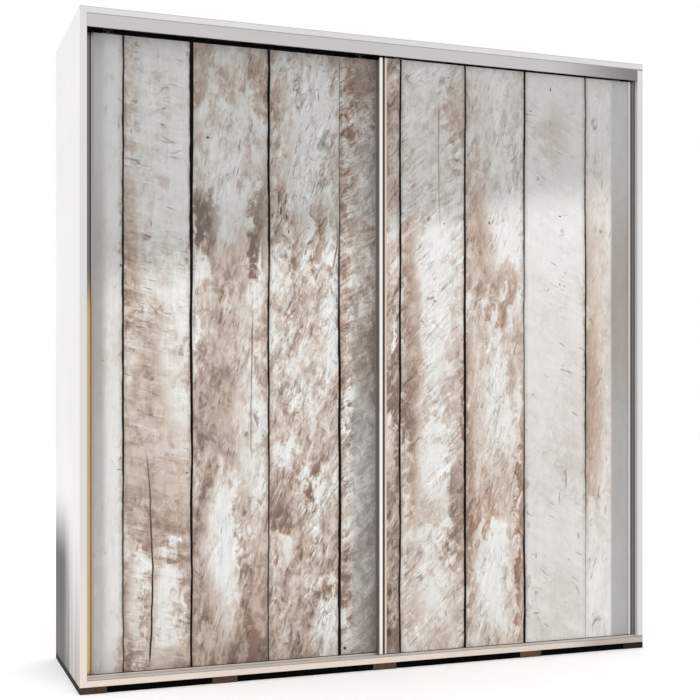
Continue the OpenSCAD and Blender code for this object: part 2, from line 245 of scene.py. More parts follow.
# Each plank of the print, from the left: its left edge in metres from the wardrobe's left
# face, its stroke angle in degrees, its relief, how far its tone wanders, its share of fine
# cracks, and its (tone, grey, warm) at five heights from the top down. A tone of 0 is clean
# whitewash and 1 is bare dark wood.
PLANKS = [
    (0.000, 80, 0.16, 0.20, 0.10,
     [(0.01, 0.2, 0.0), (0.02, 0.2, 0.0), (0.26, 0.1, 0.1), (0.16, 0.1, 0.0), (0.27, 0.1, 0.1)]),
    (0.145, -14, 0.40, 0.45, 0.30,
     [(0.09, 0.0, 0.1), (0.10, 0.0, 0.1), (0.48, 0.0, 0.2), (0.54, 0.0, 0.2), (0.62, 0.0, 0.2)]),
    (0.368, 78, 0.60, 0.55, 0.40,
     [(0.28, 0.0, 0.1), (0.22, 0.1, 0.0), (0.50, 0.1, 0.2), (0.47, 0.1, 0.2), (0.86, 0.0, 0.2)]),
    (0.630, 70, 1.00, 0.62, 0.80,
     [(0.19, 0.0, 0.1), (0.25, 0.0, 0.1), (0.41, 0.0, 0.2), (0.49, 0.0, 0.2), (0.66, 0.0, 0.2)]),
    (0.881, 33, 1.00, 0.75, 1.00,
     [(0.51, 0.0, 0.5), (0.48, 0.0, 0.3), (0.67, 0.0, 0.3), (0.64, 0.1, 0.2), (0.70, 0.1, 0.3)]),
    (1.024, 60, 0.80, 0.55, 0.70,
     [(0.66, 0.0, 0.3), (0.46, 0.0, 0.2), (0.54, 0.0, 0.3), (0.90, 0.0, 0.3), (0.94, 0.1, 0.2)]),
    (1.089, 42, 0.70, 0.44, 0.40,
     [(0.19, 0.0, 0.1), (0.22, 0.0, 0.1), (0.41, 0.0, 0.1), (0.44, 0.0, 0.1), (0.40, 0.0, 0.1)]),
    (1.335, 74, 0.60, 0.40, 0.50,
     [(0.15, 0.0, 0.1), (0.22, 0.0, 0.2), (0.35, 0.0, 0.3), (0.41, 0.0, 0.6), (0.36, 0.0, 0.4)]),
    (1.569, -28, 0.25, 0.13, 0.15,
     [(0.09, 0.1, 0.1), (0.08, 0.0, 0.0), (0.17, 0.3, 0.0), (0.24, 0.4, 0.0), (0.18, 0.3, 0.1)]),
    (1.819, 80, 0.30, 0.26, 0.20,
     [(0.07, 0.0, 0.1), (0.28, 0.0, 0.3), (0.32, 0.1, 0.4), (0.32, 0.1, 0.3), (0.10, 0.1, 0.0)]),
]
KEY_HEIGHTS = [2.00, 1.55, 1.10, 0.65, 0.20]

# Where flat grey strips of painted shade lie beside the stiles, in metres from the wardrobe's left
# face:
# from none to full at the left stile, the right stile and the left door's inner stile,
# where the strip ends at the line between the two doors' prints.
SHADE_STRIP_AT_LEFT = (0.102, 0.070)
SHADE_STRIP_AT_RIGHT = (1.920, 1.934)
SHADE_STRIP_AT_MIDDLE = (0.915, 0.945)
DOORS_MEET = 1.026

# The painted reflection greys the print above a soft line that starts at this height and climbs to the
# right.
REFLECTION_LINE_START = 1.27
REFLECTION_LINE_SLOPE = 0.21

# The dark gaps, at every plank's left edge but the first one's and the one where the doors
# meet: half widths in millimetres at the top, middle and bottom, and how black it is there.
GAPS = [
    (0.145, (2.8, 3.4, 2.2), (0.95, 1.00, 0.85)),
    (0.368, (6.2, 4.4, 3.4), (1.00, 1.00, 1.00)),
    (0.630, (4.4, 3.2, 2.2), (1.00, 1.00, 0.85)),
    (0.881, (1.4, 4.6, 5.2), (0.45, 1.00, 1.00)),
    (1.089, (3.4, 3.8, 3.8), (1.00, 1.00, 0.95)),
    (1.335, (3.4, 4.8, 4.6), (0.95, 1.00, 1.00)),
    (1.569, (3.6, 2.2, 4.6), (1.00, 0.85, 1.00)),
    (1.819, (2.6, 3.2, 1.6), (0.90, 1.00, 0.35)),
]

# Soft broken patches: distance from the left face, height, half width and half height in
# metres, and what they add to the tone, grey and warm shares.
PATCHES = [
    (0.122, 0.460, 0.026, 0.440, (-0.10, 0.0, 0.0)),
    (0.166, 1.930, 0.026, 0.170, (0.34, 0.0, 0.1)),
    (0.170, 1.440, 0.026, 0.230, (0.45, 0.0, 0.3)),
    (0.325, 1.100, 0.044, 0.210, (-0.34, 0.0, 0.0)),
    (0.240, 0.540, 0.120, 0.110, (0.16, 0.0, 0.1)),
    (0.196, 0.260, 0.024, 0.140, (-0.42, 0.0, 0.0)),
    (0.292, 0.280, 0.044, 0.150, (-0.50, 0.0, 0.0)),
    (0.290, 0.140, 0.048, 0.090, (-0.34, 0.0, 0.0)),
    (0.170, 0.100, 0.032, 0.080, (0.30, 0.0, 0.1)),
    (0.394, 2.000, 0.028, 0.110, (0.30, 0.0, 0.1)),
    (0.598, 1.980, 0.030, 0.110, (0.26, 0.0, 0.1)),
    (0.500, 1.640, 0.070, 0.080, (-0.26, 0.0, 0.0)),
    (0.510, 1.360, 0.090, 0.080, (0.18, 0.0, 0.1)),
    (0.408, 1.495, 0.040, 0.120, (0.74, 0.3, 0.0)),
    (0.606, 1.520, 0.022, 0.180, (0.50, 0.2, 0.0)),
    (0.430, 0.960, 0.060, 0.360, (0.16, 0.1, 0.0)),
    (0.578, 0.960, 0.040, 0.360, (-0.26, 0.0, 0.0)),
    (0.480, 0.400, 0.056, 0.230, (-0.58, 0.0, 0.0)),
    (0.594, 0.230, 0.034, 0.160, (0.06, 0.0, 0.5)),
    (0.662, 1.780, 0.034, 0.300, (0.34, 0.0, 0.1)),
    (0.770, 1.800, 0.070, 0.200, (-0.20, 0.0, 0.0)),
    (0.722, 1.500, 0.024, 0.110, (0.34, 0.0, 0.1)),
    (0.802, 1.490, 0.028, 0.120, (0.46, 0.1, 0.0)),
    (0.852, 1.200, 0.024, 0.210, (-0.40, 0.0, 0.0)),
    (0.688, 0.550, 0.052, 0.080, (0.34, 0.0, 0.2)),
    (0.792, 0.700, 0.050, 0.060, (0.26, 0.0, 0.2)),
    (0.680, 0.730, 0.034, 0.060, (-0.36, 0.0, 0.0)),
    (0.770, 0.590, 0.040, 0.060, (-0.34, 0.0, 0.0)),
    (0.835, 0.150, 0.050, 0.120, (-0.66, 0.0, 0.0)),
    (0.904, 0.880, 0.013, 0.060, (-1.10, 0.0, 0.0)),
    (0.950, 1.800, 0.060, 0.090, (-0.26, 0.0, 0.0)),
    (0.960, 1.980, 0.050, 0.100, (0.22, 0.0, 0.3)),
    (0.960, 0.800, 0.040, 0.640, (-0.16, 0.6, 0.0)),
    (1.073, 1.112, 0.008, 0.030, (-1.20, 0.0, 0.0)),
    (1.056, 0.970, 0.040, 0.110, (0.34, 0.0, 0.0)),
    (1.056, 0.770, 0.040, 0.100, (-0.42, 0.0, 0.0)),
    (1.128, 1.080, 0.034, 0.500, (0.42, 0.0, 0.3)),
    (1.215, 1.280, 0.060, 0.260, (-0.28, 0.0, 0.0)),
    (1.225, 0.720, 0.060, 0.150, (-0.36, 0.0, 0.0)),
    (1.210, 0.340, 0.050, 0.150, (-0.30, 0.0, 0.0)),
    (1.308, 0.520, 0.028, 0.180, (0.36, 0.0, 0.1)),
    (1.300, 1.930, 0.034, 0.120, (0.26, 0.0, 0.2)),
    (1.375, 1.780, 0.044, 0.260, (0.20, 0.0, 0.1)),
    (1.385, 1.430, 0.048, 0.170, (0.40, 0.0, 0.4)),
    (1.490, 1.310, 0.058, 0.060, (0.36, 0.0, 0.6)),
    (1.510, 1.500, 0.050, 0.110, (-0.34, 0.0, 0.0)),
    (1.410, 0.550, 0.048, 0.050, (0.38, 0.0, 0.9)),
    (1.470, 0.900, 0.050, 0.230, (-0.22, 0.0, 0.0)),
    (1.556, 0.480, 0.014, 0.420, (0.46, 0.0, 1.0)),
    (1.440, 0.300, 0.054, 0.170, (-0.42, 0.0, 0.0)),
    (1.356, 0.640, 0.018, 0.550, (0.40, 0.1, 0.1)),
    (1.680, 1.870, 0.056, 0.130, (0.22, 0.0, 0.3)),
    (1.760, 0.850, 0.060, 0.220, (0.10, 0.0, 0.3)),
    (1.700, 0.180, 0.100, 0.130, (0.10, 0.0, 0.3)),
    (1.848, 0.900, 0.032, 0.290, (0.38, 0.0, 0.8)),
    (1.840, 1.360, 0.026, 0.200, (0.18, 0.0, 0.6)),
]

# Long cracks: how dark at the top and at the bottom, then (distance from the left face,
# height) points from the top down.
CRACKS = [
    (0.60, 1.60, [(0.205, 0.790), (0.226, 0.700), (0.233, 0.560), (0.240, 0.365),
                  (0.238, 0.230), (0.229, 0.060)]),
    (0.80, 0.35, [(0.575, 1.250), (0.572, 1.050), (0.569, 0.850), (0.571, 0.700)]),
    (0.55, 0.30, [(1.236, 2.000), (1.234, 1.720), (1.240, 1.500)]),
    (0.90, 0.70, [(0.860, 1.560), (0.874, 1.480), (0.862, 1.380), (0.850, 1.330)]),
]

# Knots, nail dots and nicks: distance from the left face, height, half width and half
# height in millimetres, and how dark.
MARKS = [
    (0.240, 0.365, 3.0, 5.0, 1.0), (0.353, 0.680, 4.0, 3.0, 0.9), (0.138, 1.350, 5.0, 6.0, 0.7),
    (0.080, 1.045, 4.0, 3.0, 0.7), (0.133, 0.696, 9.0, 2.0, 0.6), (0.422, 1.778, 6.0, 4.0, 0.9),
    (0.528, 1.752, 2.0, 11.0, 0.8), (0.664, 1.592, 2.5, 20.0, 0.9), (0.690, 1.590, 2.0, 22.0, 0.9),
    (0.673, 1.550, 3.0, 14.0, 1.0), (0.692, 1.530, 2.5, 10.0, 1.0), (0.806, 1.940, 2.0, 14.0, 0.7),
    (0.700, 1.480, 2.0, 8.0, 0.9), (0.900, 0.070, 5.0, 6.0, 1.0), (0.975, 0.090, 3.5, 4.0, 0.7),
    (1.714, 1.577, 6.0, 2.5, 0.9), (1.735, 1.582, 14.0, 1.2, 0.4), (1.675, 2.030, 3.0, 8.0, 0.8),
    (1.712, 1.330, 2.5, 5.0, 0.8), (1.738, 0.630, 3.0, 34.0, 0.6), (1.712, 0.560, 2.5, 22.0, 0.5),
    (1.605, 0.362, 2.5, 2.0, 0.7), (1.888, 1.700, 2.0, 22.0, 0.5), (1.256, 1.530, 3.0, 3.0, 0.8),
    (1.220, 1.260, 7.0, 5.0, 0.6), (1.050, 0.260, 9.0, 14.0, 0.8), (1.046, 0.120, 12.0, 14.0, 0.9),
    (1.066, 0.170, 6.0, 10.0, 0.8), (1.040, 0.200, 6.0, 20.0, 0.6), (1.430, 1.540, 4.0, 6.0, 0.8),
    (1.884, 1.530, 7.0, 8.0, 0.5), (1.790, 0.420, 5.0, 12.0, 0.4), (1.616, 0.150, 12.0, 4.0, 0.5),
]


def by_plank(graph, index, rows):
    """Looks up three numbers from 0 to 1 for each plank."""
    stops = [(k / len(rows), (*row, 1)) for k, row in enumerate(rows)]
    return graph.ramp((index + 0.5) / len(rows), stops, "CONSTANT")


def long_cracks(g, u, z, fine_ripple, dirt):
    """Adds the long cracks to the dirt; each runs down a curve through its points."""
    for at_top, at_bottom, points in CRACKS:
        top, bottom = points[0][1], points[-1][1]
        line = g.node("ShaderNodeFloatCurve")
        curve = line.mapping.curves[0]
        while len(curve.points) < len(points):
            curve.points.new(0.5, 0.5)
        for spot, (at_u, at_z) in zip(curve.points, reversed(points)):
            spot.location = ((at_z - bottom) / (top - bottom), (at_u - points[0][0]) * 5 + 0.5)
        line.mapping.update()
        climb = ((z - bottom) / (top - bottom)).clamped()
        g.put(line.inputs["Value"], climb)
        centre = (Value(g, line.outputs[0]) - 0.5) / 5 + points[0][0]
        inside = z.step(top, top - 0.12) * z.step(bottom - 0.004, bottom + 0.05)
        away = (u - centre + fine_ripple * 0.008).abs()
        dark = climb * (at_top - at_bottom) + at_bottom
        dirt = g.most(dirt, away.step(0.0040, 0.0014) * inside * dark)
    return dirt


def marks(g, u, z, ripple, fine_ripple, dirt):
    """Adds the knots, nail dots and nicks to the dirt, each as a soft ellipse."""
    for at_u, at_z, half_u, half_z, strength in MARKS:
        offset = g.vector("MULTIPLY_ADD", g.point(u + fine_ripple * 0.008, 0.0, z + ripple * 0.01),
                          (1000 / half_u, 0, 1000 / half_z),
                          (-1000 * at_u / half_u, 0, -1000 * at_z / half_z))
        dirt = g.most(dirt, g.vector("DOT_PRODUCT", offset, offset).step(1.8, 0.2) * strength)
    return dirt


def gaps(g, edge_u, z, fine_ripple):
    """The dark gaps between the planks, and the wider shade beside each gap."""
    upper = z.step(1.0, 2.0)
    lower = z.step(1.0, 0.1)
    gap = None
    shade = None
    for at_u, halves, blacks in GAPS:
        away = (edge_u - at_u).abs()
        half = upper * ((halves[0] - halves[1]) / 1000) + lower * ((halves[2] - halves[1]) / 1000) \
            + halves[1] / 1000
        black = upper * (blacks[0] - blacks[1]) + lower * (blacks[2] - blacks[1]) + blacks[1]
        half = half * (fine_ripple + 1.0)
        line = away.step(half + 0.0012, half - 0.0008) * black
        beside = away.step(0.020, 0.003) * black
        gap = line if gap is None else g.most(gap, line)
        shade = beside if shade is None else g.most(shade, beside)
    return gap, shade


def printed_planks():
    """Whitewashed, weathered planks printed right across both doors, under a satin film, with a painted
    reflection greying their upper part and strips of painted shade beside the stiles.
    """
    g = Graph("printed_planks", Specular_IOR_Level=0.35)
    u = g.x - left_face
    z = g.z
    ripple = g.noise(g.point(u * 3.0, 0.0, z * 2.2), 1.0, 2.0) - 0.5
    fine_ripple = g.noise(g.point(u * 9.0, 3.0, z * 14.0), 1.0, 2.0) - 0.5
    edge_u = u + ripple * 0.012 + fine_ripple * 0.004
    lefts, angles, reliefs, wanders, cracklings, tones = zip(*PLANKS)
    index = edge_u.over(lefts[1])
    for left in lefts[2:]:
        index = index + edge_u.over(left)
    shift = index * 7.31

    # each plank's stroke direction and character
    turns = [math.radians(angle) for angle in angles]
    cosine, sine, relief = g.channels(by_plank(g, index, [
        (math.cos(turn) / 2 + 0.5, math.sin(turn) / 2 + 0.5, height)
        for turn, height in zip(turns, reliefs)]))
    cosine = cosine * 2 - 1
    sine = sine * 2 - 1
    wander, crackle, _ = g.channels(by_plank(g, index, [
        (spread, cracks, 0) for spread, cracks in zip(wanders, cracklings)]))

    # noise along the strokes, along the grain and in blots
    bend = g.noise(g.point(u * 6, shift, z * 5), 1.0, 2.0) - 0.5
    along = u * cosine + z * sine
    aside = z * cosine - u * sine + bend * 0.03
    strokes = g.noise(g.point(along * 11, shift, aside * 80), 1.0, 4.0, 0.6, 0.4)
    broad = g.noise(g.point(along * 6, shift + 3, aside * 26), 1.0, 4.0, 0.62, 0.5)
    grain = g.noise(g.point(u * 130, shift, z * 7), 1.0, 4.0, 0.6, 0.3)
    cloud = g.noise(g.point(u * 8, shift, z * 4), 1.0, 4.0, 0.6, 0.5)
    mottle = g.noise(g.point(u * 36, shift, z * 24), 1.0, 5.0, 0.66, 0.7)

    # tone, grey and warm shares: by plank and height, then the patches
    shares = by_plank(g, index, [keys[-1] for keys in tones])
    for key in range(len(KEY_HEIGHTS) - 2, -1, -1):
        rise = z.step(KEY_HEIGHTS[key + 1], KEY_HEIGHTS[key])
        shares = g.mix(rise, shares, by_plank(g, index, [keys[key] for keys in tones]))
    frayed = g.point(
        u + (cloud - 0.5) * 0.12 + (mottle - 0.5) * 0.11 + (broad - 0.5) * 0.05,
        0.0,
        z + (broad - 0.5) * 0.40 + bend * 0.20 + (mottle - 0.5) * 0.30)
    for centre_u, centre_z, half_u, half_z, gain in PATCHES:
        offset = g.vector("MULTIPLY_ADD", frayed, (1 / half_u, 0, 1 / half_z),
                          (-centre_u / half_u, 0, -centre_z / half_z))
        here = g.vector("DOT_PRODUCT", offset, offset).step(2.2, 0.1)
        shares = g.vector("MULTIPLY_ADD", here, gain, shares)
    tone, grey, warm = g.parts(shares)

    # flakes of paint: cells drawn out along the strokes, each a little lighter or darker
    warp = g.noise(g.point(u * 20, shift + 2, z * 20), 1.0, 1.0) - 0.5
    flake_place = g.point(along * 14 + warp * 2.2, shift, aside * 38 + warp * 2.6)
    _, flake_chance = g.cells(flake_place)
    flake_rim = g.cell_edges(flake_place)
    tone = tone + (flake_chance - 0.5) * crackle * 0.34

    field = cloud.step(0.36, 0.64) * 0.30 + broad.step(0.34, 0.66) * 0.32 \
        + mottle.step(0.36, 0.64) * 0.38 - 0.5
    tone = (tone + field * wander * 1.5 + (strokes - 0.5) * wander * 0.9).clamped()
    colour = g.ramp(tone, [
        (0.00, srgb(230, 229, 226)), (0.18, srgb(223, 220, 215)), (0.40, srgb(206, 195, 186)),
        (0.62, srgb(187, 171, 159)), (0.82, srgb(160, 143, 130)), (1.00, srgb(124, 107, 96))])
    rust = g.ramp(tone, [
        (0.00, srgb(230, 227, 223)), (0.30, srgb(219, 207, 198)), (0.60, srgb(204, 180, 163)),
        (1.00, srgb(152, 118, 98))])
    ash = g.ramp(tone, [
        (0.00, srgb(226, 226, 225)), (0.50, srgb(182, 176, 170)), (1.00, srgb(118, 109, 102))])
    colour = g.mix((warm * (mottle * 1.2)).clamped(), colour, rust)
    colour = g.mix(grey.clamped(), colour, ash)

    # relief of the peeling paint: edges of raised flakes, lit from the upper left
    lift = 0.0020
    over_along = (sine - cosine) * lift
    over_aside = (cosine + sine) * lift
    flakes = [
        g.noise(g.point((along + over_along * side) * 11, shift + 5, (aside + over_aside * side) * 34),
                1.0, 3.0, 0.6, 0.9).step(0.44, 0.56)
        for side in (1.0, -1.0)]
    lit = (flakes[0] - flakes[1]) * relief
    where = g.noise(g.point(u * 12, shift + 5, z * 8), 1.0, 2.0)
    worn = where.step(0.40, 0.60) * 0.85 + 0.20
    light = lit * (tone * 0.75 + 0.30) * worn * 0.50 + (strokes - 0.5) * (relief * worn * 1.05 + 0.10) \
        + (grain - 0.5) * (wander * 0.50 + 0.05) + 0.985
    colour = g.shade(colour, light)

    # hairline cracks along the strokes, nicks along the grain and pale chips
    seam = g.noise(g.point(along * 7, shift + 9, aside * 26), 1.0, 1.0, 0.5, 0.8)
    crack = (seam - 0.5).abs().step(0.030, 0.008) \
        * (where * 0.6 + mottle * 0.4 + crackle * 0.10).step(0.56, 0.66)
    craze = g.noise(g.point(along * 12, shift + 12, aside * 40), 1.0, 1.0, 0.5, 1.0)
    crazing = (craze - 0.46).abs().step(0.040, 0.010) \
        * (cloud * 0.5 + mottle * 0.5 + crackle * 0.12).step(0.54, 0.64)
    near, chance = g.cells(g.point((u + bend * 0.02) * 34, shift, z * 11))
    nick = near.step(0.16, 0.05) * chance.over(0.88)
    dash_near, dash_chance = g.cells(g.point(along * 12, shift, aside * 95))
    dash = dash_near.step(0.28, 0.08) * (dash_chance + crackle * 0.30).over(0.99)
    chip_near, chip_chance = g.cells(g.point(along * 6, shift, aside * 64))
    chip = chip_near.step(0.34, 0.10) * chip_chance.over(0.78)
    colour = g.mix(chip * (relief * 0.4 + 0.15), colour, srgb(236, 233, 229))
    outline = flake_rim.step(0.120, 0.030) * (where * 0.6 + mottle * 0.4).step(0.48, 0.58) * crackle
    dirt = g.most(
        g.most(crack * 0.55, nick * 0.5),
        g.most(dash * 0.6, g.most(crazing * crackle * 0.42, outline * 0.34)))
    dirt = long_cracks(g, u, z, fine_ripple, dirt)
    dirt = marks(g, u, z, ripple, fine_ripple, dirt)
    colour = g.mix(
        dirt.clamped(), colour,
        g.mix((dirt - 1.0).step(0.0, 0.3), srgb(78, 56, 43), srgb(24, 16, 12)))

    # gaps between the planks, with a soft worn shade beside them
    gap, shade = gaps(g, edge_u, z, fine_ripple)
    colour = g.mix(shade * (mottle * 0.8 - 0.05), colour, srgb(128, 106, 92))
    colour = g.mix(gap.clamped(), colour, srgb(22, 15, 12))

    # painted reflection: the print greyer above a soft slanting line, and flat grey strips of painted
    # shade by the stiles
    line_z = u * REFLECTION_LINE_SLOPE + REFLECTION_LINE_START + (cloud - 0.5) * 0.10
    painted_reflection = (z - line_z).step(-0.06, 0.10)
    colour = g.shade(colour, 1.0 - painted_reflection * 0.32)
    strip = g.most(
        u.step(*SHADE_STRIP_AT_LEFT) * (0.78 - z.step(0.75, 0.25) * 0.22),
        g.most(
            u.step(*SHADE_STRIP_AT_RIGHT) * 0.92,
            u.step(*SHADE_STRIP_AT_MIDDLE) * (1.0 - u.over(DOORS_MEET))
            * (z.step(1.30, 0.95) * 0.26 + 0.34)))
    # the painted shade in the strips turns browner in a band at middle height
    middle_band = z.step(1.75, 1.45) * z.step(0.80, 1.10)
    strip_shade_colour = g.mix(middle_band * (cloud * 0.9 + 0.3), srgb(168, 168, 167), srgb(150, 139, 130))
    colour = g.mix(strip * (1.0 - gap * 0.8), colour, g.mix(tone * 0.6, strip_shade_colour, srgb(142, 131, 123)))
    g.set("Base Color", colour)
    g.set("Roughness", tone * 0.10 + gap * 0.10 + 0.38)
    g.set("Specular IOR Level", 0.35 - gap * 0.30)
    g.bump(grain * 0.5 + g.noise(g.point(u * 40, 1.0, z * 40), 1.0, 3.0), 0.10, 0.0005)
    return g.material


# ---------------------------------------------------------------- the other materials

def laminate(name, tone, warm_light_tone):
    """White melamine board: fine orange peel and joint lines.

    Its front edges take a painted warm light towards the floor, the front edges at floor level a
    painted shade towards the right, and the left side a painted dark reflection low down.
    """
    g = Graph(name)
    peel = g.noise(g.point(g.x, g.y, g.z), 900, 2.0)
    cloud = g.noise(g.point(g.x, g.y, g.z), 2.2, 3.0)
    streak = g.noise(g.point(0.0, g.y * 16, g.z * 0.5), 1.0, 3.0)
    front_face = (g.facing(1) * -1.0).step(0.5, 0.9)
    left_face_only = (g.facing(0) * -1.0).step(0.5, 0.9) * (1.0 - g.x.over(-inner_half - 0.001))
    dull = tuple(c * 0.95 for c in tone[:3]) + (1,)
    colour = g.mix(cloud.step(0.3, 0.7), tone, dull)
    # painted warm light on the front edges towards the floor, weaker on the right side panel
    right_post = g.x.over(inner_half) * g.z.over(floor_top)
    colour = g.mix(g.z.step(0.55, 0.0) * front_face * (0.95 - right_post * 0.8), colour, warm_light_tone)
    # painted shade on the front edges at floor level, deeper towards the right
    shaded = g.x.step(0.10, 0.60) * 0.09 + g.x.step(0.70, 0.85) * 0.30
    colour = g.shade(colour, 1.0 - shaded * g.z.step(floor_top + 0.003, floor_top) * front_face)

    # painted dark reflection on the left side: warm and streaky near the floor, darker towards the wall
    dark_reflection_by_wall = (g.y + (streak - 0.5) * 0.10).step(-0.16, 0.10) * g.z.step(0.62, 0.36) * left_face_only
    low_dark_reflection = g.z.step(0.60, 0.0) * (streak.step(0.42, 0.60) * 0.6 + 0.4)
    colour = g.mix(low_dark_reflection * left_face_only * 0.90, colour, srgb(122, 105, 93))
    colour = g.mix(dark_reflection_by_wall * (0.90 + g.z.step(0.10, 0.30) * 0.08), colour, srgb(42, 39, 37))

    # joint lines between the boards and along the outer arris
    joint = g.least((g.z - ceiling).abs(), (g.z - floor_top).abs()).step(0.0034, 0.0020) \
        * g.x.over(-inner_half)
    arris = g.z.step(high.z - 0.0024, high.z - 0.0012)
    colour = g.mix(g.most(joint * 0.75, arris * 0.50) * front_face, colour, srgb(118, 111, 104))
    g.set("Base Color", colour)
    g.set("Roughness", peel * 0.06 + cloud * 0.10 + 0.30)
    g.set("Specular IOR Level", 0.45 - dark_reflection_by_wall * 0.38)
    g.bump(peel, 0.05, 0.0004)
    return g.material


def hardboard():
    """Thin back board: lacquered inside, bare brown fibre towards the wall."""
    g = Graph("hardboard", Specular_IOR_Level=0.25)
    spot = g.point(g.x, g.y, g.z)
    fibre = g.noise(g.point(g.x * 260, g.y * 260, g.z * 190), 1.0, 4.0, 0.7)
    cloud = g.noise(spot, 3.0, 4.0)
    brown = g.mix(fibre.step(0.3, 0.7), srgb(138, 102, 72), srgb(172, 134, 98))
    brown = g.mix(cloud * 0.5, brown, srgb(122, 90, 64))
    colour = g.mix(g.facing(1).step(-0.5, -0.9), brown, srgb(226, 224, 220))
    g.set("Base Color", colour)
    g.set("Roughness", fibre * 0.25 + 0.5)
    g.bump(fibre, 0.15, 0.0006)
    return g.material


def aluminium(name, axis, tone=(0.74, 0.735, 0.725, 1)):
    """Anodised extrusion with its drawing lines along one axis of the frame, 0 or 2.

    It returns the graph, so that a piece can still change the colour.
    """
    g = Graph(name, Metallic=1.0)
    along = [g.x, g.y, g.z][axis]
    across = g.z if axis == 0 else g.x
    lines = g.noise(g.point(along * 1.5, g.y * 900, across * 900), 1.0, 3.0, 0.7)
    cloud = g.noise(g.point(along * 3, g.y * 40, across * 40), 1.0, 2.0)
    dark = (tone[0] * 0.86, tone[1] * 0.86, tone[2] * 0.86, 1)
    g.set("Base Color", g.mix(lines * 0.55 + cloud * 0.35, dark, tone))
    g.set("Roughness", lines * 0.12 + 0.26)
    g.bump(lines, 0.06, 0.0003)
    return g


def out_of_the_track(g):
    """Painted shade factor: 1 where a piece stands in the open, and near 0 up inside the top track's
    channels.
    """
    up_inside = g.z.step(channel_mouth, channel_inside) * g.z.step(ceiling + 0.002, ceiling)
    return 1.0 - up_inside * g.y.step(0.0, -0.1) * 0.90


def plain_metal(name, tone, roughness, spangle):
    """Small pressed or turned steel piece, zinc plated or satin, with painted shade inside the top
    track.
    """
    g = Graph(name, Metallic=1.0)
    spot = g.point(g.x, g.y, g.z)
    _, chance = g.cells(spot, spangle)
    worn = g.noise(spot, 320, 3.0)
    dark = (tone[0] * 0.78, tone[1] * 0.78, tone[2] * 0.8, 1)
    g.set("Base Color", g.shade(g.mix(chance * 0.6 + worn * 0.4, dark, tone), out_of_the_track(g)))
    g.set("Roughness", worn * 0.18 + roughness)
    g.bump(worn, 0.08, 0.0003)
    return g.material


def moulded(name, tone, roughness):
    """Moulded plastic or rubber with a fine spark eroded grain, and painted shade up inside the top
    track.
    """
    g = Graph(name)
    spot = g.point(g.x, g.y, g.z)
    pit = g.noise(spot, 700, 2.0)
    cloud = g.noise(spot, 30, 3.0)
    dull = tuple(c * 0.86 for c in tone[:3]) + (1,)
    g.set("Base Color", g.shade(g.mix(cloud.step(0.3, 0.75), tone, dull), out_of_the_track(g)))
    g.set("Roughness", pit * 0.12 + roughness)
    g.set("Specular IOR Level", out_of_the_track(g) * (0.5 if tone[0] > 0.1 else 0.05))
    g.bump(pit, 0.12, 0.0004)
    return g.material


def timber(name, pale, dark, axis, end_tones_and_light=None):
    """Plain wood with its grain along one axis of the frame.

    The last argument colours its end grain along the wardrobe's width, as (position, colour) stops: the
    brown of the cut ends, with painted light and shade that differ from bearer to bearer.
    """
    g = Graph(name, Specular_IOR_Level=0.12)
    spots = [g.x * 60, g.y * 60, g.z * 60]
    spots[axis] = spots[axis] * 0.06
    rings = g.noise(g.point(*spots), 1.0, 5.0, 0.65, 0.8)
    pores = g.noise(g.point(g.x * 300, g.y * 300, g.z * 300), 1.0, 2.0)
    colour = g.mix(rings.step(0.3, 0.7), pale, dark)
    if end_tones_and_light:
        ends = g.ramp(g.x.step(low.x, high.x, "LINEAR"), end_tones_and_light)
        ends = g.shade(ends, 1.0 - rings.step(0.35, 0.7) * 0.3)
        colour = g.mix(g.facing(axis).abs().step(0.6, 0.9), colour, ends)
    g.set("Base Color", colour)
    g.set("Roughness", rings * 0.2 + pores * 0.1 + 0.5)
    g.bump(rings, 0.12, 0.0006)
    return g.material


def pile(name):
    """Short dense pile, lighter at its tips."""
    g = Graph(name, Roughness=0.95, Sheen_Weight=0.4)
    strand = g.noise(g.point(g.x * 1800, g.y * 1800, g.z * 1400), 1.0, 2.0)
    g.set("Base Color", g.mix(strand.step(0.3, 0.7), srgb(46, 43, 41), srgb(98, 93, 89)))
    g.bump(strand, 0.8, 0.001)
    return g.material


def fascia_metal():
    """The top fascia, with a painted dark reflection towards its right end."""
    g = aluminium("fascia_aluminium", 0, tone=(0.74, 0.722, 0.708, 1))
    base = g.shader.inputs["Base Color"].links[0].from_socket
    dark_reflection_to_right = g.x.step(0.60, 1.02)
    g.set("Base Color", g.shade(Value(g, base), 0.84 - dark_reflection_to_right * 0.50))
    return g.material


def track_metal():
    """The top track, dark in the shade under the top panel."""
    g = aluminium("track_aluminium", 0)
    base = g.shader.inputs["Base Color"].links[0].from_socket
    under_panel = g.z.step(ceiling - 0.0005, ceiling - 0.0030)
    g.set("Base Color", g.shade(Value(g, base), 1.0 - under_panel * 0.88))
    return g.material


# Distances in from a stile's outer edge, and back from its front face, in metres, and the heights
# between which the left stile's painted gold reflection gives way to its painted grey tones above.
STILE_INNER_EDGE = (0.0190, 0.0205)
STILE_GROOVE = (0.0010, 0.0050)
GOLD_REFLECTION_ENDS = (1.18, 1.34)


